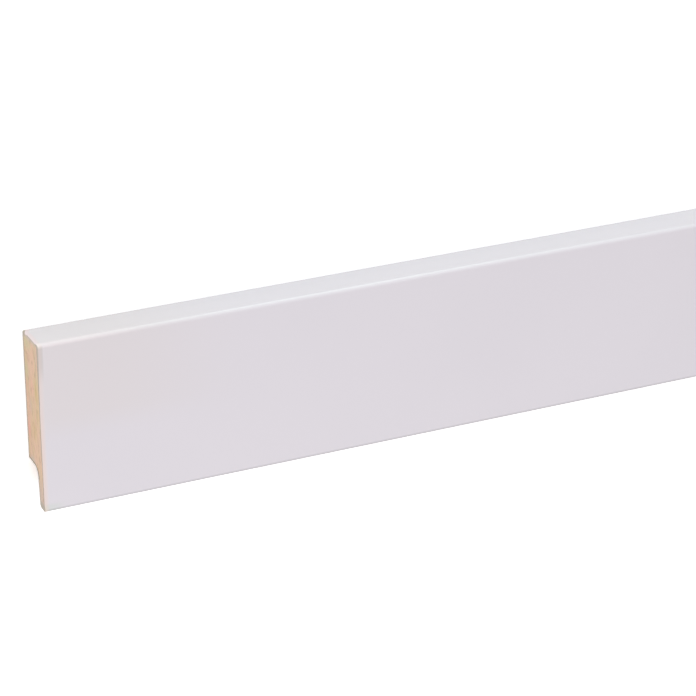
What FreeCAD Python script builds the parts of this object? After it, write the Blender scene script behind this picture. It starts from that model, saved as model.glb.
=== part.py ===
import FreeCAD, Part
import math
import os

# A white foiled MDF skirting board, one length of stock, in millimetres.
# It lies on its back: X runs along the length, +Y towards the board's top edge,
# and +Z out of its front face. The origin is under the middle of the board, on the
# plane that its back lies on.

# Driving sizes of the board
board_length = 2400.0
board_height = 70.0
board_thickness = 16.0

# Rounding of the visible edges
top_front_round = 1.7
top_back_round = 1.0
foot_front_round = 0.4

# Cable rebate along the back of the foot, and the lip that hides it
rebate_height = 16.4
rebate_ceiling_fall = 0.2
rebate_inner_round = 4.0
lip_root_thickness = 6.0
lip_foot_thickness = 5.0
lip_back_round = 1.5

# A rounding takes up at most this share of the shorter side beside it
round_share = 0.48


def section_corners():
    """The section's corners before rounding, as depth behind the front face, height
    above the foot and the radius of the corner, in order round the outline."""
    return [
        (0.0, 0.0, foot_front_round),
        (lip_foot_thickness, 0.0, lip_back_round),
        (lip_root_thickness, rebate_height - rebate_ceiling_fall, rebate_inner_round),
        (board_thickness, rebate_height, 0.0),
        (board_thickness, board_height, top_back_round),
        (0.0, board_height, top_front_round),
    ]


def in_section_plane(depth, height):
    """A point of the section as a vector on the board's left end."""
    return FreeCAD.Vector(
        -board_length / 2,
        height - board_height / 2,
        board_thickness - depth,
    )


def rounded_corner(before, corner, after, radius):
    """The first, middle and last point of the arc that rounds a corner. A sharp corner
    gives its own point three times."""
    if radius == 0.0:
        return corner, corner, corner
    side_in = before - corner
    side_out = after - corner
    shorter_side = min(side_in.Length, side_out.Length)
    half_angle = side_in.getAngle(side_out) / 2
    reach = min(radius / math.tan(half_angle), round_share * shorter_side)
    fitted_radius = reach * math.tan(half_angle)
    towards_in = FreeCAD.Vector(side_in).normalize()
    towards_out = FreeCAD.Vector(side_out).normalize()
    inwards = (towards_in + towards_out).normalize()
    to_middle = fitted_radius / math.sin(half_angle) - fitted_radius
    return (
        corner + towards_in * reach,
        corner + inwards * to_middle,
        corner + towards_out * reach,
    )


def section_face():
    """The board's cross-section as a flat face: straight sides joined by tangent arcs."""
    corners = section_corners()
    points = [in_section_plane(depth, height) for depth, height, _ in corners]
    arcs = []
    for index, (_, _, radius) in enumerate(corners):
        before = points[index - 1]
        after = points[(index + 1) % len(points)]
        arcs.append(rounded_corner(before, points[index], after, radius))
    edges = []
    for index, (first, middle, last) in enumerate(arcs):
        if first != last:
            edges.append(Part.Arc(first, middle, last).toShape())
        next_first = arcs[(index + 1) % len(arcs)][0]
        edges.append(Part.makeLine(last, next_first))
    return Part.Face(Part.Wire(edges))


def skirting_board():
    """The whole board: one moulded section, sawn square at both ends."""
    return section_face().extrude(FreeCAD.Vector(board_length, 0, 0))


os.makedirs("parts", exist_ok=True)
skirting_board().exportStep("parts/skirting_board.step")
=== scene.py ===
"""The looks of one length of white foiled MDF skirting board, lying on its back.

The photograph shows the board standing upright. It lies on its back here, so the
camera keeps its place against the board and turns with it.
"""
import logging
import math
from dataclasses import dataclass
from enum import Enum
from functools import cached_property, partial, reduce

import bpy
import numpy as np
from bpy.types import Light, Material, Node, Object, World
from bpy.types import NodeSocket as Socket
from mathutils import Matrix, Vector


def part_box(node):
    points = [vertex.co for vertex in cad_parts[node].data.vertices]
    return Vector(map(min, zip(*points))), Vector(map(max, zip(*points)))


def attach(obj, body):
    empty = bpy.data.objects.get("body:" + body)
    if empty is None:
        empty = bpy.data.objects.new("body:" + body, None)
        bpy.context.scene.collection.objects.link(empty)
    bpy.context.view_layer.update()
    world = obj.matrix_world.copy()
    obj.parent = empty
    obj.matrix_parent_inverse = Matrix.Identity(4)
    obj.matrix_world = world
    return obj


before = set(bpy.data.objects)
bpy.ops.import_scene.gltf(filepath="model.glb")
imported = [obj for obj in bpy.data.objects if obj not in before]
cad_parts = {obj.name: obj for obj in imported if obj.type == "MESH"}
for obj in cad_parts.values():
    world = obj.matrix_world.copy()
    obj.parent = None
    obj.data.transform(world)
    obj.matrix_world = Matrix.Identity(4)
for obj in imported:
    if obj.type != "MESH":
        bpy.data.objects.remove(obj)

MM = 0.001
BOARD_NODE = "skirting_board"

# A noise node's values run mostly between these
NOISE_SPAN = (0.3, 0.7)

# At a scale of 1, a wave node's phase grows by this for each metre
WAVE_NODE_RATE = 20

# A rounding turns by at most this from one of its points to the next
ARC_STEP = math.radians(7.5)

# The random values of an even noise repeat after this many cells
LATTICE_SIZE = 512

WHITE = (1.0, 1.0, 1.0)

# A share that rises or falls between two limits
RISING = (0.0, 1.0)
FALLING = (1.0, 0.0)

# Types: a few numbers, a colour, an array, and a path's points with their normals
Pair = tuple[float, float]
Triple = tuple[float, float, float]
Colour = Triple
Array = np.ndarray
Path = tuple[Array, Array]

log = logging.getLogger("skirting")


class BoardEnd(Enum):
    """The two sawn ends, by the side of the origin that each lies on."""

    LEFT = -1
    RIGHT = 1


# Geometry helpers


def rounded_path(corners: Array, radii: Array, spacing: float) -> Path:
    """Samples an open path of straight runs whose inner corners are rounded by arcs.

    A corner between unit directions a and b turns by the angle between them. Its arc
    leaves each run at radius * tan(turn / 2) from the corner, and its normal swings
    evenly from the first run's normal to the second's.

    Args:
        corners: the path's points, one row (y, z) each, in metres.
        radii: the radius at each point. The first and last are not used.
        spacing: the longest step along a straight run, in metres.

    Returns:
        The sampled points and their unit normals, which point to the left of the way.
    """
    runs = np.diff(corners, axis=0)
    ways = runs / np.linalg.norm(runs, axis=1)[:, None]
    headings = np.unwrap(np.arctan2(ways[:, 1], ways[:, 0]))
    turns = np.diff(headings)
    reach = np.concatenate([[0.0], radii[1:-1] * np.tan(np.abs(turns) / 2), [0.0]])
    points, normals = [], []
    for i, way in enumerate(ways):
        first = corners[i] + way * reach[i]
        last = corners[i + 1] - way * reach[i + 1]
        steps = max(1, math.ceil(np.linalg.norm(last - first) / spacing))
        share = np.linspace(0.0, 1.0, steps + 1)[:, None]
        normal = np.array([-way[1], way[0]])
        points.append(first + (last - first) * share)
        normals.append(np.repeat(normal[None], steps + 1, axis=0))
        if i == len(turns):
            break
        side = np.sign(turns[i])
        centre = last + side * radii[i + 1] * normal
        arc_steps = math.ceil(abs(turns[i]) / ARC_STEP)
        angle = headings[i] + turns[i] * np.linspace(0.0, 1.0, arc_steps + 1)[1:-1]
        swung = np.stack([-np.sin(angle), np.cos(angle)], axis=1)
        points.append(centre - side * radii[i + 1] * swung)
        normals.append(swung)
    return np.concatenate(points), np.concatenate(normals)


def closed_sheet(outer: Array, inner: Array) -> tuple[Array, Array]:
    """Joins two grids of the same shape into one closed solid, faces outward.

    The outer grid's squares, the inner grid's squares turned over, and a wall of
    squares along each of the four rims. The signed volume says whether they point
    outward, and they are all turned over where it is negative.

    Args:
        outer: points of the outer surface, shape (rows, columns, 3).
        inner: points of the inner surface, of the same shape.

    Returns:
        The vertices, shape (n, 3), and the faces as four indices each.
    """
    rows, columns, _ = outer.shape
    count = rows * columns
    index = np.arange(count).reshape(rows, columns)
    squares = np.stack([index[:-1, :-1], index[1:, :-1], index[1:, 1:], index[:-1, 1:]], axis=-1)
    squares = squares.reshape(-1, 4)
    rim = np.concatenate([index[0, :-1], index[:-1, -1], index[-1, :0:-1], index[:0:-1, 0]])
    beside = np.roll(rim, -1)
    walls = np.stack([rim, beside, beside + count, rim + count], axis=-1)
    vertices = np.concatenate([outer.reshape(-1, 3), inner.reshape(-1, 3)])
    faces = np.concatenate([squares, squares[:, ::-1] + count, walls])
    a, b, c, d = (vertices[faces[:, k]] for k in range(4))
    volume = (a * (np.cross(b, c) + np.cross(c, d))).sum()
    return vertices, faces if volume > 0 else faces[:, ::-1]


def nearness(points: Array, path: Array, unit: Pair) -> Array:
    """The distance from each point to a path of straight pieces, in given units.

    Args:
        points: one row (y, z) each, in metres.
        path: the path's points, in the same form, or one point twice.
        unit: what counts as a distance of 1 along y and along z, in metres.

    Returns:
        The smallest distance of each point to any piece of the path.
    """
    starts = path[:-1] / unit
    way = path[1:] / unit - starts
    offset = (points / unit)[:, None, :] - starts[None]
    length = np.maximum((way * way).sum(axis=-1), np.finfo(float).tiny)
    along = np.clip((offset * way).sum(axis=-1) / length, 0.0, 1.0)
    return np.linalg.norm(offset - along[..., None] * way, axis=-1).min(axis=1)


def ease(share: Array) -> Array:
    """A soft step: 3t^2 - 2t^3 between 0 and 1, and level outside them."""
    t = np.clip(share, 0.0, 1.0)
    return t * t * (3 - 2 * t)


def smooth_noise(u: Array, v: Array, cell: float, seed: int) -> Array:
    """Even noise from -1 to 1: random values on a square lattice, blended between its
    points by the weight 3t^2 - 2t^3 along each axis.

    Args:
        u: first coordinate of each point, in metres.
        v: second coordinate of each point, of the same shape.
        cell: the lattice's spacing, in metres.
        seed: picks the lattice's values.

    Returns:
        One value for each point.
    """
    lattice = np.random.default_rng(seed).uniform(-1.0, 1.0, (LATTICE_SIZE, LATTICE_SIZE))
    column, row = np.floor(u / cell).astype(int), np.floor(v / cell).astype(int)
    s, t = ease(u / cell - column), ease(v / cell - row)
    left, right = column % LATTICE_SIZE, (column + 1) % LATTICE_SIZE
    near, far = row % LATTICE_SIZE, (row + 1) % LATTICE_SIZE
    before = lattice[left, near] * (1 - s) + lattice[right, near] * s
    beyond = lattice[left, far] * (1 - s) + lattice[right, far] * s
    return before * (1 - t) + beyond * t


@dataclass(frozen=True)
class Roughening:
    """One layer of even noise in a surface: the size of its cells, its weight and its
    seed, which differs between the two ends."""

    cell: float
    weight: float
    seed: int

    def at(self, u: Array, v: Array, end: BoardEnd) -> Array:
        """The layer's noise at each point, from minus its weight to its weight."""
        return self.weight * smooth_noise(u, v, self.cell, self.seed + end.value)


# Objects of the scene


def add_object(name: str, data: bpy.types.ID) -> Object:
    """Adds an object to the scene.

    Args:
        name: the object's name.
        data: its mesh, light or camera.

    Returns:
        The object.
    """
    added = bpy.data.objects.new(name, data)
    bpy.context.scene.collection.objects.link(added)
    return added


def new_piece(name: str, outer: Array, inner: Array, material: Material, sharp_deg: float) -> Object:
    """Makes a closed, smooth-shaded piece at the origin, with sharp edges where it turns.

    Args:
        name: the piece's name.
        outer: points of its outer surface in the board's frame, in metres.
        inner: points of its inner surface, of the same shape.
        material: the finish.
        sharp_deg: the angle between faces from which an edge is sharp, in degrees.

    Returns:
        The linked object.
    """
    vertices, faces = closed_sheet(outer, inner)
    mesh = bpy.data.meshes.new(name)
    mesh.from_pydata(vertices.tolist(), [], faces.tolist())
    mesh.materials.append(material)
    mesh.polygons.foreach_set("use_smooth", np.ones(len(mesh.polygons), bool))
    mesh.set_sharp_from_angle(angle=math.radians(sharp_deg))
    mesh.update()
    return add_object(name, mesh)


def store(piece: Object, name: str, values: Array) -> None:
    """Gives a piece an attribute with the same values on its outer and inner grid."""
    attribute = piece.data.attributes.new(name, "FLOAT", "POINT")
    attribute.data.foreach_set("value", np.tile(values, 2))


# The board's outline


@dataclass(frozen=True)
class Section:
    """The board's cross-section, in the plane of Y and Z, with the source's sizes. Its
    sharp corner at the mouth of the rebate is eased a trace."""

    low: Vector
    high: Vector
    top_front_round: float = 1.7 * MM
    top_back_round: float = 1.0 * MM
    foot_front_round: float = 0.4 * MM
    rebate_height: float = 16.4 * MM
    rebate_ceiling_fall: float = 0.2 * MM
    rebate_inner_round: float = 4.0 * MM
    lip_root_thickness: float = 6.0 * MM
    lip_foot_thickness: float = 5.0 * MM
    lip_back_round: float = 1.5 * MM
    rebate_mouth_round: float = 0.05 * MM

    @property
    def height(self) -> float:
        """From the foot to the top edge."""
        return self.high.y - self.low.y

    @property
    def thickness(self) -> float:
        """From the face to the back."""
        return self.high.z - self.low.z

    @property
    def lip_root_height(self) -> float:
        """From the foot to the corner inside the rebate."""
        return self.rebate_height - self.rebate_ceiling_fall

    def point(self, depth: float, height: float) -> Pair:
        """A place given by its depth behind the face and its height, as Y and Z."""
        return self.low.y + height, self.high.z - depth

    def path(self, stops: list[Triple], spacing: float) -> Path:
        """The rounded path through some stops, each a depth, a height and a radius."""
        corners = np.array([self.point(depth, height) for depth, height, _ in stops])
        return rounded_path(corners, np.array([radius for *_, radius in stops]), spacing)

    def front_path(self, back_turn: float, lip_turn: float, spacing: float) -> Path:
        """The way of the foil: from the lip's back, round the foot, up the face, over
        the top edge and down the back.

        Args:
            back_turn: how far it reaches down the back, in metres.
            lip_turn: how far it reaches up the lip's back, in metres.
            spacing: the longest step along a straight run, in metres.

        Returns:
            Its points and outward normals, as rounded_path gives them.
        """
        lip_slope = (self.lip_root_thickness - self.lip_foot_thickness) / self.lip_root_height
        stops = [
            (self.lip_foot_thickness + lip_turn * lip_slope, lip_turn, 0.0),
            (self.lip_foot_thickness, 0.0, self.lip_back_round),
            (0.0, 0.0, self.foot_front_round),
            (0.0, self.height, self.top_front_round),
            (self.thickness, self.height, self.top_back_round),
            (self.thickness, self.height - back_turn, 0.0),
        ]
        return self.path(stops, spacing)

    def back_path(self) -> Path:
        """The outline's back half: from the middle of the foot, round the lip, through
        the rebate, up the back and over to the middle of the top edge.

        Returns:
            Its points and inward normals, as rounded_path gives them.
        """
        stops = [
            (self.lip_foot_thickness / 2, 0.0, 0.0),
            (self.lip_foot_thickness, 0.0, self.lip_back_round),
            (self.lip_root_thickness, self.lip_root_height, self.rebate_inner_round),
            (self.thickness, self.rebate_height, self.rebate_mouth_round),
            (self.thickness, self.height, self.top_back_round),
            (self.thickness / 2, self.height, 0.0),
        ]
        return self.path(stops, self.height)

    def face_path(self) -> Path:
        """The outline's front half: from the middle of the foot, up the face and over
        to the middle of the top edge.

        Returns:
            Its points and outward normals, as rounded_path gives them.
        """
        stops = [
            (self.lip_foot_thickness / 2, 0.0, 0.0),
            (0.0, 0.0, self.foot_front_round),
            (0.0, self.height, self.top_front_round),
            (self.thickness / 2, self.height, 0.0),
        ]
        return self.path(stops, self.height)


# Finishes


class NodeBoard:
    """The node tree of a material or a world, with short ways to add and join nodes."""

    def __init__(self, owner: Material | World, shader: str = "BsdfPrincipled") -> None:
        """Starts the tree with one shader, joined to the output.

        Args:
            owner: the material or world.
            shader: the shader's kind.
        """
        owner.use_nodes = True
        self.owner = owner
        self.tree = owner.node_tree
        self.tree.nodes.clear()
        self.shader = self.node(shader, {})
        output = "OutputWorld" if isinstance(owner, World) else "OutputMaterial"
        self.node(output, {"Surface": self.shader.outputs[0]})

    def feed(self, node: Node, inputs: dict[str | int, object]) -> None:
        """Links a node's inputs to outputs, or sets them to plain values.

        Args:
            node: the node to feed.
            inputs: an output, a number or a colour for each, by its name or place.
        """
        for key, value in inputs.items():
            fed = node.inputs[key]
            if isinstance(value, Socket):
                self.tree.links.new(value, fed)
            elif fed.type == "RGBA":
                fed.default_value = (*value, 1.0)
            else:
                fed.default_value = value

    def node(self, kind: str, inputs: dict[str | int, object], **settings: str) -> Node:
        """Adds a node.

        Args:
            kind: its type, without the ShaderNode in front.
            inputs: what feed takes.
            settings: its own options, which are set before its inputs.

        Returns:
            The node.
        """
        node = self.tree.nodes.new(f"ShaderNode{kind}")
        for name, choice in settings.items():
            setattr(node, name, choice)
        self.feed(node, inputs)
        return node

    @cached_property
    def place(self) -> Socket:
        """Where a point is on the board, in metres."""
        return self.node("TexCoord", {}).outputs["Object"]

    @cached_property
    def axes(self) -> bpy.types.bpy_prop_collection:
        """The board's own X, Y and Z, in metres."""
        return self.node("SeparateXYZ", {0: self.place}).outputs

    def attribute(self, name: str) -> Socket:
        """A number that the mesh stores at each of its points."""
        return self.node("Attribute", {}, attribute_name=name).outputs["Fac"]

    def math(self, operation: str, first: object, second: object = 0.0) -> Socket:
        """Adds a Math node for one or two numbers or outputs."""
        return self.node("Math", {0: first, 1: second}, operation=operation).outputs[0]

    def join(self, operation: str, *values: object) -> Socket:
        """Joins numbers or outputs from the first to the last by Math nodes."""
        return reduce(partial(self.math, operation), values)

    def ramp(self, value: Socket, limits: Pair, levels: tuple[object, object] = RISING) -> Socket:
        """Adds a smooth Map Range node.

        Args:
            value: what is mapped.
            limits: the values at which the first level ends and the second begins.
            levels: the results below the first limit and above the second.

        Returns:
            The node's output.
        """
        ends = dict(zip(("From Min", "From Max", "To Min", "To Max"), (*limits, *levels)))
        node = self.node("MapRange", {"Value": value, **ends}, interpolation_type="SMOOTHSTEP")
        return node.outputs["Result"]

    def noise(self, cell: float, detail: float = 2.0, stretch: Triple = (1, 1, 1)) -> Socket:
        """Adds a Noise texture on the board's own coordinates.

        Args:
            cell: the size of its blotches, in metres.
            detail: how many finer layers it has.
            stretch: how much longer the blotches are along X, Y and Z.

        Returns:
            The noise, from 0 to 1 about a middle of 0.5.
        """
        mapping = self.node("Mapping", {"Vector": self.place, "Scale": stretch}, vector_type="TEXTURE")
        inputs = {"Vector": mapping.outputs["Vector"], "Scale": 1.0 / cell, "Detail": detail}
        return self.node("TexNoise", inputs).outputs["Fac"]

    def paint(self, base: Socket | Colour, *coats: tuple, blend: str = "MIX") -> Socket:
        """Lays coats of colour over a base, by a Mix node for each.

        Args:
            base: the colour underneath, or an output.
            coats: the colour of each, or an output, and shares whose product it covers.
            blend: the nodes' blend type.

        Returns:
            The painted colour.
        """
        for colour, *shares in coats:
            inputs = {"Factor": self.join("MULTIPLY", *shares), "A": base, "B": colour}
            base = self.node("Mix", inputs, data_type="RGBA", blend_type=blend).outputs["Result"]
        return base

    def bump(self, height: Socket, depth: float, strength: float) -> None:
        """Lets a height from 0 to 1 shape the shader's normal.

        Args:
            height: the height map.
            depth: what a height of 1 stands for, in metres.
            strength: the share of the effect that is used.
        """
        node = self.node("Bump", {"Strength": strength, "Distance": depth, "Height": height})
        self.feed(self.shader, {"Normal": node.outputs["Normal"]})


@dataclass(frozen=True)
class Whereabouts:
    """Nodes that tell where on the board a point of its finish lies."""

    board: NodeBoard
    section: Section

    def near_end(self, reach: Pair) -> Socket:
        """1 at either end, falling to 0 between two distances from it."""
        along = self.board.math("ABSOLUTE", self.board.axes["X"])
        return self.board.ramp(self.board.math("SUBTRACT", self.section.high.x, along), reach, FALLING)

    def at_height(self, heights: Pair, levels: Pair = RISING) -> Socket:
        """From the first level to the second between two heights above the foot."""
        limits = [self.section.low.y + height for height in heights]
        return self.board.ramp(self.board.axes["Y"], limits, levels)


@dataclass(frozen=True)
class Mottle:
    """One layer of soft blotches: their size, how far they stretch along X, Y and Z, the
    noise at which they begin and are full, how much they cover there, and how many finer
    layers they have."""

    cell: float
    stretch: Triple
    begins: float
    full: float
    share: float
    detail: float = 2.0

    def lay(self, board: NodeBoard) -> Socket:
        """Adds the layer's nodes to a tree, and returns how much it covers."""
        noise = board.noise(self.cell, self.detail, self.stretch)
        return board.ramp(noise, (self.begins, self.full), (0.0, self.share))


@dataclass(frozen=True)
class FoilFinish:
    """Satin white decor foil: an even cool white with a very fine embossed pore. It is
    pinker where the saw bruised it. A painted highlight makes the top front rounding
    paler near the ends, and painted shade makes the foil greyer round the foot."""

    colour: Colour = (0.74, 0.692, 0.744)
    shade: Colour = (0.732, 0.685, 0.737)
    # A greyer, warmer tint on the upper half of the face near the ends
    end_tint: Colour = (0.729, 0.671, 0.699)
    end_tint_reach: Pair = (20 * MM, 90 * MM)
    end_tint_heights: Pair = (27 * MM, 41 * MM)
    # Darkens the face beside the cut
    cut_side_dark: Colour = (0.87, 0.875, 0.86)
    cut_side_dark_reach: Pair = (1.8 * MM, 2.6 * MM)
    cut_side_dark_heights: Pair = (52 * MM, 63 * MM)
    cut_side_dark_depths: Pair = (0.3 * MM, 0.05 * MM)
    scuff: Colour = (0.93, 0.985, 0.93)
    scuff_reach: Pair = (3 * MM, 10 * MM)
    scuff_heights: Pair = (2 * MM, 3.8 * MM)
    clouds: Mottle = Mottle(45 * MM, (1.0, 1.0, 1.0), *NOISE_SPAN, 1.0, 3.0)
    # Painted shade: the foil greyer along the foot's rounding, which turns away from the light
    foot: Colour = (0.58, 0.55, 0.58)
    foot_shade_heights: Pair = (0.3 * MM, 1.3 * MM)
    cut: Colour = (0.813, 0.667, 0.63)
    cut_heights: Pair = (34 * MM, 48 * MM)
    cut_high_up: float = 0.65
    cut_top: Colour = (0.767, 0.627, 0.657)
    # The foil's pale cut edge along the very edge of the top, partly a painted glint
    cut_edge_and_glint: Colour = (0.815, 0.675, 0.69)
    cut_top_reach: Pair = (1.5 * MM, 0.4 * MM)
    cut_edge_and_glint_from: float = 0.8
    # Painted highlight: makes the bruise paler and less pink on the top front rounding
    cut_crest_highlight: Colour = (1.01, 1.1, 1.05)
    # Painted highlight: a paler band along the top front rounding near the ends
    crest_highlight: Colour = (1.085, 1.055, 1.055)
    crest_highlight_reach: Pair = (8 * MM, 55 * MM)
    crest_extent: Pair = (1.0 * MM, 1.8 * MM)
    roughness: float = 0.3
    roughness_drift: float = 0.02
    pore_cell: float = 0.35 * MM
    pore_stretch: Triple = (3.0, 1.0, 1.0)
    pore_depth: float = 0.02 * MM
    pore_strength: float = 0.25

    def end_marks_and_highlights(self, board: NodeBoard, face: Socket, section: Section) -> Socket:
        """Adds the marks near the ends: a greyer, warmer tint on the upper half, the foil's
        pink bruise from the saw, weaker higher up, and at the very edge of the top paler by
        its cut edge and partly by a painted glint. A painted highlight makes the bruise less
        pink on the top front rounding, and another makes that rounding paler. The face
        darkens beside the cut, and a greyer scuff lies at the foot's corner.

        Args:
            board: the node tree to add them to.
            face: the foil's colour.
            section: the board's section.

        Returns:
            The marked colour.
        """
        where = Whereabouts(board, section)
        y, z = board.axes["Y"], board.axes["Z"]
        bruise = board.attribute("bruise")
        on_top = board.ramp(y, [section.high.y - reach for reach in self.cut_top_reach])
        on_face = board.ramp(z, [section.high.z - depth for depth in self.cut_side_dark_depths])
        from_corner = board.math("SUBTRACT", section.high.y + section.high.z, board.math("ADD", y, z))
        on_crest = board.ramp(from_corner, self.crest_extent, FALLING)
        face = board.paint(
            face,
            (self.end_tint, where.near_end(self.end_tint_reach), where.at_height(self.end_tint_heights)),
            (self.cut, bruise, where.at_height(self.cut_heights, (1.0, self.cut_high_up))),
            (self.cut_top, bruise, on_top),
            # Pale cut edge at the very edge of the top, partly a painted glint
            (self.cut_edge_and_glint, board.ramp(bruise, (self.cut_edge_and_glint_from, 1.0)), on_top),
        )
        return board.paint(
            face,
            # Painted highlight on the bruise at the top front rounding
            (self.cut_crest_highlight, bruise, on_crest),
            (self.cut_side_dark, where.at_height(self.cut_side_dark_heights), on_face, where.near_end(self.cut_side_dark_reach)),
            (self.scuff, where.near_end(self.scuff_reach), where.at_height(self.scuff_heights, FALLING)),
            # Painted highlight along the top front rounding near the ends
            (self.crest_highlight, where.near_end(self.crest_highlight_reach), on_crest),
            blend="MULTIPLY",
        )

    def build(self, section: Section) -> Material:
        """Makes the foil's material.

        Args:
            section: the board's section.

        Returns:
            The material.
        """
        board = NodeBoard(bpy.data.materials.new("white_foil"))
        # Painted shade along the foot's rounding
        foot_shade_share = Whereabouts(board, section).at_height(self.foot_shade_heights, FALLING)
        face = board.paint(self.colour, (self.shade, self.clouds.lay(board)), (self.foot, foot_shade_share))
        colour = self.end_marks_and_highlights(board, face, section)
        pore = board.noise(self.pore_cell, stretch=self.pore_stretch)
        levels = self.roughness - self.roughness_drift, self.roughness + self.roughness_drift
        roughness = board.ramp(pore, NOISE_SPAN, levels)
        board.feed(board.shader, {"Base Color": colour, "Roughness": roughness})
        board.bump(pore, self.pore_depth, self.pore_strength)
        return board.owner


class Tone(Enum):
    """The colours of the stains on a sawn end. The name of each is also that of the
    mesh's attribute that says how much of it shows."""

    OLIVE = (0.735, 0.646, 0.418)
    GOLDEN = (0.74, 0.57, 0.28)
    ROSY = (0.925, 0.525, 0.435)
    PALE = (0.73, 0.568, 0.485)
    ASHEN = (0.665, 0.615, 0.53)
    BROWN = (0.537, 0.368, 0.249)


@dataclass(frozen=True)
class Stain:
    """A soft patch on a sawn end: its middle, as depth behind the face and height above
    the foot, how far it reaches along each, in millimetres, and how much of it shows."""

    tone: Tone
    middle_mm: Pair
    reach_mm: Pair
    share: float

    def lay(self, depth: Array, height: Array) -> Array:
        """How much of the patch shows at each point. With r as the distance from its
        middle in units of its reach, it falls by the soft step from its share at 0 to
        nothing at 1.

        Args:
            depth: how far each point is behind the face, in metres.
            height: how far it is above the foot, of the same shape.

        Returns:
            One share for each point.
        """
        across = (depth / MM - self.middle_mm[0]) / self.reach_mm[0]
        up = (height / MM - self.middle_mm[1]) / self.reach_mm[1]
        return self.share * (1 - ease(np.hypot(across, up)))


@dataclass(frozen=True)
class FibreboardFinish:
    """Bare MDF: pressed fine fibres, pinkish tan, in bands along the board's faces with
    a yellower tone, paler wisps and browner bundles, and greyer in the dense skin. The
    sanded back is an even brown with fine flecks."""

    colour: Colour = (0.872, 0.598, 0.443)
    yellow: Colour = (0.733, 0.597, 0.343)
    pale: Colour = (0.888, 0.674, 0.498)
    brown: Colour = Tone.BROWN.value
    skin: Colour = (0.526, 0.459, 0.393)
    burr: Colour = (0.4, 0.34, 0.28)
    roughness: float = 0.82
    bands: Mottle = Mottle(2.4 * MM, (1.0, 7.0, 1.0), 0.45, 0.6, 0.5)
    wisps: Mottle = Mottle(1.1 * MM, (1.0, 4.0, 1.0), 0.55, 0.7, 0.6, 6.0)
    bundles: Mottle = Mottle(1.3 * MM, (1.0, 3.0, 1.0), 0.5, 0.72, 0.6, 8.0)
    fibres: Mottle = Mottle(0.22 * MM, (1.0, 1.0, 1.0), 0.35, 0.8, 0.45)
    sanded: Colour = (0.64, 0.475, 0.355)
    sanded_dark: Colour = (0.54, 0.39, 0.285)
    sanded_pale: Colour = (0.74, 0.57, 0.43)
    clouds: Mottle = Mottle(22 * MM, (2.0, 1.0, 1.0), 0.35, 0.7, 0.45)
    flecks: Mottle = Mottle(0.7 * MM, (2.5, 1.0, 1.0), 0.5, 0.72, 0.55, 3.0)
    chips: Mottle = Mottle(1.4 * MM, (2.0, 1.0, 1.0), 0.56, 0.7, 0.5, 3.0)
    torn_cell: float = 0.2 * MM
    torn_detail: float = 3.0
    torn_depth: float = 0.05 * MM
    torn_strength: float = 0.5

    def moulded(self, board: NodeBoard) -> Socket:
        """Adds the nodes of the colour of the sanded back and the milled rebate."""
        return board.paint(
            self.sanded,
            (self.sanded_pale, self.clouds.lay(board)),
            (self.sanded_pale, self.chips.lay(board)),
            (self.sanded_dark, self.flecks.lay(board)),
            (self.sanded_dark, self.fibres.lay(board)),
        )

    def build_sawn(self) -> Material:
        """Makes the finish of a sawn end. Its stains, its skin and its burr read the
        mesh's own attributes.

        Returns:
            The material.
        """
        board = NodeBoard(bpy.data.materials.new("sawn_fibreboard"))
        colour = board.paint(
            self.colour,
            (self.yellow, self.bands.lay(board)),
            (self.pale, self.wisps.lay(board)),
            *((tone.value, board.attribute(tone.name)) for tone in Tone),
            (self.brown, self.bundles.lay(board)),
            (self.brown, self.fibres.lay(board)),
            (self.skin, board.attribute("skin")),
            (self.burr, board.attribute("burr")),
        )
        board.feed(board.shader, {"Base Color": colour, "Roughness": self.roughness})
        board.bump(board.noise(self.torn_cell, self.torn_detail), self.torn_depth, self.torn_strength)
        return board.owner


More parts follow.
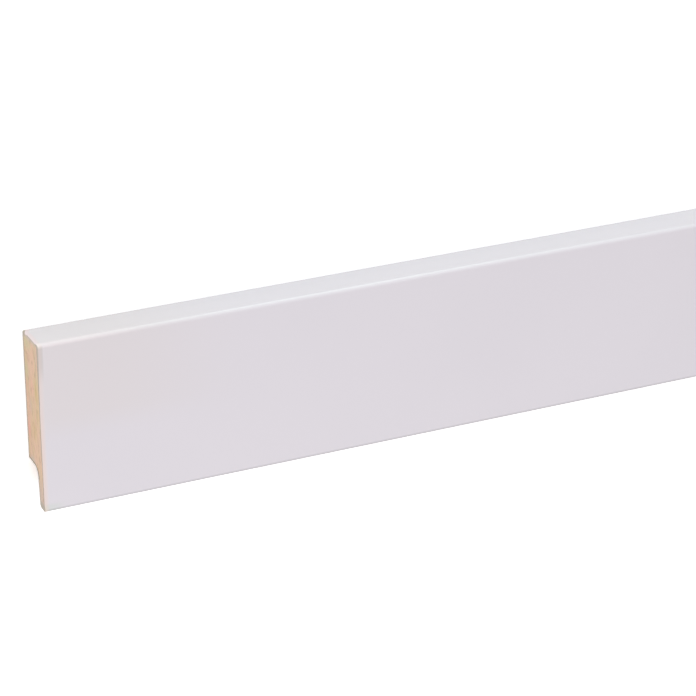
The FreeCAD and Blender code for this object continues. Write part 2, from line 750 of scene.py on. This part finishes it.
@dataclass(frozen=True)
class BoardFinish:
    """The board's own faces: bare fibreboard, and white wherever the foil covers it."""

    fibreboard: FibreboardFinish
    foil: FoilFinish
    knife_pitch: float = 1.6 * MM
    knife_share: float = 0.15
    fuzz_cell: float = 0.25 * MM
    fuzz_detail: float = 3.0
    fuzz_depth: float = 0.04 * MM
    fuzz_strength: float = 0.4
    torn_reach: float = 3.0 * MM
    burr_height: float = 0.3 * MM
    hair: float = 0.05 * MM

    def covered(self, board: NodeBoard, section: Section, back_turn: float) -> Socket:
        """Adds the nodes that tell the faces under the foil from the bare ones: nearer
        to the face or the top edge than the roundings reach, on the lip's edge, or high
        up on the back.

        Args:
            board: the node tree to add them to.
            section: the board's section.
            back_turn: how far the foil reaches down the back, in metres.

        Returns:
            1 under the foil and 0 elsewhere.
        """
        low, high = section.low, section.high
        y, z = board.axes["Y"], board.axes["Z"]
        front = board.math("GREATER_THAN", z, high.z - section.top_front_round - self.hair)
        top = board.math("GREATER_THAN", y, high.y - section.top_back_round - self.hair)
        foot = board.math("LESS_THAN", y, low.y + self.hair)
        back = board.math("LESS_THAN", z, low.z + section.top_back_round + self.hair)
        turned = board.math("MULTIPLY", back, board.math("GREATER_THAN", y, high.y - back_turn))
        return board.join("MAXIMUM", front, top, foot, turned)

    def build(self, section: Section, back_turn: float) -> Material:
        """Makes the board's material. Its back carries the moulder's knife marks, the
        dense skin shows on the sawn ends and where the foil is torn back, and the burr
        on the ends round the rebate.

        Args:
            section: the board's section.
            back_turn: how far the foil reaches down the back, in metres.

        Returns:
            The material.
        """
        board = NodeBoard(bpy.data.materials.new("foiled_mdf"))
        skin, burr = self.fibreboard.skin, self.fibreboard.burr
        along = board.math("ABSOLUTE", board.axes["X"])
        torn = board.math("GREATER_THAN", along, section.high.x - self.torn_reach)
        sawn = board.math("GREATER_THAN", along, section.high.x - self.hair)
        under = board.paint(self.foil.colour, (skin, torn))
        burr_top = section.low.y + section.rebate_height + self.burr_height
        below = board.math("LESS_THAN", board.axes["Y"], burr_top)
        behind = board.math("LESS_THAN", board.axes["Z"], section.high.z - section.lip_foot_thickness)
        edge = board.paint(skin, (burr, below, behind))
        covered = self.covered(board, section, back_turn)
        colour = board.paint(self.fibreboard.moulded(board), (under, covered), (edge, sawn))
        board.feed(board.shader, {"Base Color": colour, "Roughness": self.fibreboard.roughness})
        wave_scale = 2 * math.pi / WAVE_NODE_RATE / self.knife_pitch
        knife = board.node("TexWave", {"Vector": board.place, "Scale": wave_scale})
        ripple = board.math("MULTIPLY", knife.outputs["Fac"], self.knife_share)
        relief = board.math("ADD", board.noise(self.fuzz_cell, self.fuzz_detail), ripple)
        board.bump(relief, self.fuzz_depth, self.fuzz_strength)
        return board.owner


@dataclass(frozen=True)
class FloorFinish:
    """A white floor. Only the camera and reflections see it brighter than it is."""

    colour: float = 0.8
    seen: float = 1.55
    reflected: float = 1.3

    def build(self) -> Material:
        """Makes the floor's material.

        Returns:
            The material.
        """
        board = NodeBoard(bpy.data.materials.new("floor_white"), "BsdfDiffuse")
        rays = board.node("LightPath", {}).outputs
        mirrored = board.math("MAXIMUM", rays["Is Glossy Ray"], rays["Is Transmission Ray"])
        level = board.ramp(mirrored, RISING, (self.colour, self.reflected))
        level = board.ramp(rays["Is Camera Ray"], RISING, (level, self.seen))
        board.feed(board.shader, {"Color": level})
        return board.owner


# The board's pieces


@dataclass(frozen=True)
class FoilWrap:
    """The white foil, a thin skin wrapped round the foot, the face and the top edge. The
    saw bruised its ends and tore them back: a little along the face, more towards the
    top front corner, and most at the top back corner."""

    section: Section
    thickness: float = 0.36 * MM
    proud: float = 0.06 * MM
    back_turn: float = 8.0 * MM
    lip_turn: float = 4.0 * MM
    step: float = 0.35 * MM
    nick: float = 0.1 * MM
    nick_layers: tuple[Roughening, ...] = (Roughening(0.8 * MM, 0.6, 11), Roughening(5 * MM, 0.7, 18))
    nick_spared: float = 0.25
    overhang: float = 0.05 * MM
    torn_face: float = 0.02 * MM
    torn_corner: float = 0.4 * MM
    torn_from: float = 36 * MM
    torn_behind: float = 1.6 * MM
    torn_foot: float = 0.25 * MM
    torn_foot_height: float = 3 * MM
    chip: float = 1.2 * MM
    chip_depth: float = 3.2 * MM
    chip_drop: float = 10 * MM
    chip_rise: float = 6 * MM
    flake: float = 0.35 * MM
    flake_middle: float = 12 * MM
    flake_reach: float = 1.8 * MM
    bruise_width: float = 0.35 * MM
    bruise_fade: float = 1.7 * MM
    bruised_stations: int = 2
    half_steps: int = 12
    sharp_deg: float = 40.0

    def stations(self) -> Array:
        """Places along the length. The first two steps from each end are the width of
        the bruise and of its fading, and from there to the middle they follow the cube
        of an even step.

        Returns:
            The places, from 0 at one end to 1 at the other.
        """
        length = self.section.high.x - self.section.low.x
        whole = self.bruise_width / length
        faded = whole + self.bruise_fade / length
        rest = faded + (0.5 - faded) * np.linspace(0.0, 1.0, self.half_steps) ** 3
        half = np.concatenate([[0.0, whole], rest])
        return np.concatenate([half, 1 - half[-2::-1]])

    def torn(self, points: Array) -> Array:
        """How far the foil is torn back from the end at each point of its path. It grows
        up the face to the top front corner, and is chipped away at the top back corner.
        Along the top edge between them the foil hangs over the cut a little instead,
        and a flake of it more, next to the chip. Each change follows the soft step.

        Args:
            points: the path's points, one row (y, z) each, in metres.

        Returns:
            One length for each point, in metres.
        """
        height = points[:, 0] - self.section.low.y
        depth = self.section.high.z - points[:, 1]
        rise = self.section.height - self.torn_from
        face = self.torn_face + self.torn_corner * ease((height - self.torn_from) / rise)
        on_top = ease(depth / self.torn_behind)
        face = face * (1 - on_top) - self.overhang * on_top * ease(height / self.torn_from)
        foot = self.torn_foot * (1 - ease(height / self.torn_foot_height))
        behind = ease((depth - self.section.thickness + self.chip_depth) / self.chip_depth)
        above = ease((height - self.section.height + self.chip_drop) / self.chip_rise)
        flake = 1 - ease(np.abs(depth - self.flake_middle) / self.flake_reach)
        return face + foot + (self.chip * behind - self.flake * flake) * above

    def build(self, material: Material) -> Object:
        """Carries the foil's section along the board.

        Each point is the path's point moved along its normal, and its X runs between
        the two ends. Small nicks set the ends back by up to the size of a nick, by
        noise along the path.

        Args:
            material: the foil's finish.

        Returns:
            The foil.
        """
        points, normals = self.section.front_path(self.back_turn, self.lip_turn, self.step)
        way = np.concatenate([[0.0], np.cumsum(np.linalg.norm(np.diff(points, axis=0), axis=1))])
        share = self.stations()[:, None]
        ends = []
        for end in BoardEnd:
            layers = [layer.at(way, np.zeros_like(way), end) for layer in self.nick_layers]
            nicks = np.clip(sum(layers) - self.nick_spared, 0.0, 1.0) * self.nick
            ends.append(end.value * (self.section.high.x - self.torn(points) - nicks))
        x = ends[0] * (1 - share) + ends[1] * share
        surfaces = []
        for offset in (self.proud, self.proud - self.thickness):
            moved = np.broadcast_to(points + normals * offset, (*x.shape, 2))
            surfaces.append(np.concatenate([x[..., None], moved], axis=-1))
        piece = new_piece("decor_foil", *surfaces, material, self.sharp_deg)
        station = np.arange(len(share))
        at_end = np.minimum(station, station[::-1]) < self.bruised_stations
        store(piece, "bruise", np.repeat(at_end, len(points)).astype(float))
        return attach(piece, "root")


@dataclass(frozen=True)
class SawnEnd:
    """The fibreboard face of one sawn end, with the blade's marks and torn fibres."""

    section: Section
    end: BoardEnd
    inset: float = 0.3 * MM
    body: float = 0.25 * MM
    stand: float = 0.03 * MM
    mark_depth: float = 0.035 * MM
    pit_depth: float = 0.03 * MM
    mark_pitch: float = 1.1 * MM
    mark_drift: Roughening = Roughening(9 * MM, 0.6, 3)
    pits: tuple[Roughening, ...] = (Roughening(0.45 * MM, 0.5, 5), Roughening(1.3 * MM, 0.6, 8))
    blade_centre: Pair = (-50 * MM, 112.5 * MM)
    face_skin: Pair = (0.7 * MM, 0.45 * MM)
    back_skin: Pair = (0.7 * MM, 1.5 * MM)
    skin_even: float = 0.55
    bruised_corner: Pair = (3.0 * MM, 4.2 * MM)
    bruised_foot: Pair = (4.0 * MM, 7.0 * MM)
    burr_reach: Pair = (1.2 * MM, 2.2 * MM)
    stains: tuple[Stain, ...] = (
        Stain(Tone.OLIVE, (12.0, 66.5), (7.0, 4.5), 1.0),
        Stain(Tone.OLIVE, (14.0, 54.5), (5.0, 6.0), 1.0),
        Stain(Tone.OLIVE, (1.7, 55.0), (1.5, 8.0), 0.8),
        Stain(Tone.GOLDEN, (3.5, 49.5), (2.6, 8.0), 1.0),
        Stain(Tone.GOLDEN, (3.0, 38.5), (3.0, 6.0), 0.4),
        Stain(Tone.GOLDEN, (7.0, 31.5), (5.0, 7.5), 0.6),
        Stain(Tone.ROSY, (13.5, 30.0), (3.5, 6.5), 1.0),
        Stain(Tone.ROSY, (8.5, 49.0), (4.0, 7.0), 0.4),
        Stain(Tone.PALE, (10.0, 41.0), (2.5, 5.0), 0.6),
        Stain(Tone.PALE, (0.9, 27.0), (1.8, 13.0), 0.6),
        Stain(Tone.PALE, (2.5, 4.0), (6.0, 16.0), 1.0),
        Stain(Tone.PALE, (10.0, 17.0), (5.0, 4.0), 0.8),
        Stain(Tone.ASHEN, (9.0, 70.0), (16.0, 3.2), 1.0),
        Stain(Tone.ASHEN, (1.6, 64.0), (1.6, 7.0), 0.4),
        Stain(Tone.ASHEN, (11.5, 17.8), (3.0, 1.9), 0.6),
        Stain(Tone.BROWN, (3.7, 64.5), (0.9, 4.5), 0.5),
        Stain(Tone.BROWN, (3.6, 56.0), (1.1, 2.2), 0.6),
        Stain(Tone.BROWN, (12.5, 62.0), (3.0, 1.3), 0.5),
    )
    columns: int = 64
    row_step: float = 0.14 * MM
    row_decimals: int = 5
    sharp_deg: float = 50.0

    def edges(self) -> tuple[Array, Array, Array]:
        """The section's two sides at each row of the grid.

        Returns:
            The rows' Y, the Z of the back side and the Z of the face's side.
        """
        back, inward = self.section.back_path()
        face, outward = self.section.face_path()
        back = back + inward * self.inset
        face = face - outward * self.inset
        low, high = self.section.low.y + self.inset, self.section.high.y - self.inset
        even = np.linspace(low, high, math.ceil((high - low) / self.row_step))
        own = np.concatenate([back[:, 0], face[:, 0]])
        own = own[(own > low) & (own < high)]
        rows = np.unique(np.round(np.concatenate([even, own]), self.row_decimals))
        back_side = np.interp(rows, np.maximum.accumulate(back[:, 0]), back[:, 1])
        face_side = np.interp(rows, np.maximum.accumulate(face[:, 0]), face[:, 1])
        return rows, back_side, face_side

    def relief(self, y: Array, z: Array) -> Array:
        """How far the sawn face stands out at each point: arcs of the blade, as a sine
        of the distance from the blade's centre, and pits where noise runs high.

        Args:
            y: the grid's Y, in metres.
            z: the grid's Z.

        Returns:
            The height of each point, from 0 up, in metres.
        """
        centre_y, centre_z = self.blade_centre
        reach = np.hypot(y - self.section.low.y - centre_y, z - centre_z)
        turns = reach / self.mark_pitch + self.mark_drift.at(y, z, self.end)
        marks = 0.5 + 0.5 * np.sin(2 * np.pi * turns)
        pits = np.clip(sum(layer.at(y, z, self.end) for layer in self.pits), 0.0, 1.0)
        return marks * self.mark_depth + (1 - pits) * self.pit_depth

    def build(self, material: Material) -> Object:
        """Lays a grid over the section, row by row from the back side to the face's.

        Args:
            material: the sawn finish.

        Returns:
            The sawn face, a thin solid let into the end.
        """
        rows, back_side, face_side = self.edges()
        across = np.linspace(0.0, 1.0, self.columns)
        z = back_side[:, None] * (1 - across) + face_side[:, None] * across
        y = np.repeat(rows[:, None], self.columns, axis=1)
        end_x = self.end.value * self.section.high.x
        outer_x = end_x + self.end.value * (self.stand + self.relief(y, z))
        inner_x = np.full_like(y, end_x - self.end.value * self.body)
        outer, inner = (np.stack([x, y, z], axis=-1) for x in (outer_x, inner_x))
        piece = new_piece(f"sawn_end_{self.end.name.lower()}", outer, inner, material, self.sharp_deg)
        self.mark(piece, y, z)
        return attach(piece, "root")

    def mark(self, piece: Object, y: Array, z: Array) -> None:
        """Stores how much of the dense dark skin, of the burr along the rebate and of
        each tone shows at each point. With r as the distance to the outline in units of
        the skin's or the burr's size, or to a bruised corner in units of its own, skin
        and burr are whole up to the even share and fall by the soft step to nothing at
        1. A tone shows as the most that any of its stains gives there.

        Args:
            piece: the sawn face.
            y: the grid's Y, in metres.
            z: the grid's Z.
        """
        section = self.section
        points = np.stack([y.ravel(), z.ravel()], axis=-1)
        face, back = section.face_path()[0], section.back_path()[0]
        corner = np.array([section.point(section.thickness, section.height)] * 2)
        foot = np.array([section.point(section.lip_foot_thickness / 2, 0.0)] * 2)
        skin = np.minimum.reduce([
            nearness(points, face, self.face_skin),
            nearness(points, back, self.back_skin),
            nearness(points, corner, self.bruised_corner),
            nearness(points, foot, self.bruised_foot),
        ])
        rise = back[:, 0] - section.low.y
        rebate = back[(rise >= section.lip_back_round) & (rise <= section.rebate_height)]
        burr = nearness(points, rebate, self.burr_reach)
        for name, distance in (("skin", skin), ("burr", burr)):
            store(piece, name, 1 - ease((distance - self.skin_even) / (1 - self.skin_even)))
        depth, height = section.high.z - points[:, 1], points[:, 0] - section.low.y
        for tone in Tone:
            shares = [stain.lay(depth, height) for stain in self.stains if stain.tone is tone]
            store(piece, tone.name, np.maximum.reduce(shares))


# The studio


def hang(light: Light, away: Vector) -> Object:
    """Adds a lamp to the scene.

    Args:
        light: its light.
        away: the direction that it shines against.

    Returns:
        The lamp.
    """
    lamp = add_object(light.name, light)
    lamp.rotation_mode = "QUATERNION"
    lamp.rotation_quaternion = away.to_track_quat("Z", "Y")
    return lamp


@dataclass(frozen=True)
class SoftLamp:
    """A broad distant lamp, which lights the whole length evenly."""

    name: str
    towards: Triple
    level: float
    spread_deg: float
    colour: Colour = WHITE

    def build(self) -> None:
        """Makes the lamp. At level 1 it shows a facing surface in its own colour."""
        light = bpy.data.lights.new(self.name, "SUN")
        light.energy = self.level * math.pi
        light.angle = math.radians(self.spread_deg)
        light.color = self.colour
        hang(light, Vector(self.towards))


@dataclass(frozen=True)
class NearLamp:
    """A square lamp near the board, whose light falls off along it."""

    name: str
    place: Triple
    target: Triple
    side: float
    watts: float

    def build(self) -> None:
        """Makes the lamp, which faces its target."""
        light = bpy.data.lights.new(self.name, "AREA")
        light.energy = self.watts
        light.size = self.side
        lamp = hang(light, Vector(self.place) - Vector(self.target))
        lamp.location = self.place


@dataclass(frozen=True)
class Studio:
    """The pale floor, the white surroundings and the lamps."""

    floor_finish: FloorFinish
    floor_half: float = 40.0
    floor_drop: float = 0.1 * MM
    surroundings: float = 0.625
    lamps: tuple[SoftLamp | NearLamp, ...] = (
        SoftLamp("edge_low", (0.387, 0.921, 0.04), 0.174, 4.0, (0.824, 1.0, 0.918)),
        SoftLamp("edge_high", (0.387, 0.81, 0.44), 0.137, 12.0, (0.824, 1.0, 0.918)),
        SoftLamp("front_top", (0.387, 0.46, 0.8), 0.116, 40.0),
        SoftLamp("left_end", (-0.95, 0.0, 0.3), 0.18, 70.0),
        NearLamp("foot_side", (-1.35, -0.5, 0.75), (-1.1, 0.0, 0.0), 0.4, 1.53),
    )

    def build(self, low: Vector) -> None:
        """Makes the floor, the world and the lamps.

        Args:
            low: the board's lowest corner, which the floor lies under.
        """
        half, level = self.floor_half, low.z - self.floor_drop
        corners = [(half * x, half * y, level) for x, y in ((-1, -1), (1, -1), (1, 1), (-1, 1))]
        mesh = bpy.data.meshes.new("floor")
        mesh.from_pydata(corners, [], [(0, 1, 2, 3)])
        mesh.materials.append(self.floor_finish.build())
        floor = add_object("floor", mesh)
        for lamp in self.lamps:
            lamp.build()
        bpy.context.scene.world = self.build_world()

    def build_world(self) -> World:
        """Makes the surroundings: white to the camera and in reflections, and a plain
        even light to everything else.

        Returns:
            The world.
        """
        board = NodeBoard(bpy.data.worlds.new("surroundings"), "Background")
        rays = board.node("LightPath", {}).outputs
        kinds = ("Camera", "Glossy", "Transmission")
        seen = board.join("MAXIMUM", *(rays[f"Is {kind} Ray"] for kind in kinds))
        strength = board.ramp(seen, RISING, (self.surroundings, 1.0))
        board.feed(board.shader, {"Color": WHITE, "Strength": strength})
        return board.owner


@dataclass(frozen=True)
class PhotoCamera:
    """The photograph's camera. Its sizes are against the board as it stands upright:
    from the left end, in front of the face, and above the foot."""

    from_left_end: float = -299.038 * MM
    before_face: float = 910.83 * MM
    above_foot: float = 498.093 * MM
    turn_deg: float = 25.1218
    down_deg: float = 24.2741
    focal_px: float = 2803.48
    frame_px: int = 696
    sensor_mm: float = 36.0
    clip_start: float = 0.01
    clip_end: float = 100.0

    def build(self, low: Vector, high: Vector) -> None:
        """Places the camera against the lying board and makes it the scene's camera.

        Args:
            low: the board's lowest corner.
            high: the board's highest corner.
        """
        turn, down = math.radians(self.turn_deg), math.radians(self.down_deg)
        ahead = Vector((math.sin(turn) * math.cos(down), -math.sin(down), -math.cos(turn) * math.cos(down)))
        right = Vector((math.cos(turn), 0.0, math.sin(turn)))
        turned = Matrix((right, right.cross(ahead), -ahead)).transposed().to_4x4()
        place = Vector((low.x + self.from_left_end, low.y + self.above_foot, high.z + self.before_face))
        data = bpy.data.cameras.new("photo_camera")
        data.sensor_width = self.sensor_mm
        data.lens = self.focal_px * self.sensor_mm / self.frame_px
        data.clip_start = self.clip_start
        data.clip_end = self.clip_end
        camera = add_object("photo_camera", data)
        camera.matrix_world = Matrix.Translation(place) @ turned
        bpy.context.scene.camera = camera


def main() -> None:
    """Dresses the board, builds its foil, its sawn ends and the studio."""
    logging.basicConfig(level=logging.INFO, format="%(name)s: %(message)s")
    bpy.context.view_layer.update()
    low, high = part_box(BOARD_NODE)
    section = Section(low, high)
    foil_finish = FoilFinish()
    fibreboard = FibreboardFinish()

    wrap = FoilWrap(section)
    sawn = fibreboard.build_sawn()
    pieces = [wrap.build(foil_finish.build(section))]
    pieces += [SawnEnd(section, end).build(sawn) for end in BoardEnd]
    for piece in pieces:
        log.info("%s: %d faces", piece.name, len(piece.data.polygons))

    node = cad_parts[BOARD_NODE]
    node.data.materials.clear()
    node.data.materials.append(BoardFinish(fibreboard, foil_finish).build(section, wrap.back_turn))
    log.info("%s: dressed", node.name)

    Studio(FloorFinish()).build(low)
    PhotoCamera().build(low, high)
    bpy.context.scene.view_settings.view_transform = "Standard"


if __name__ == "__main__":
    main()
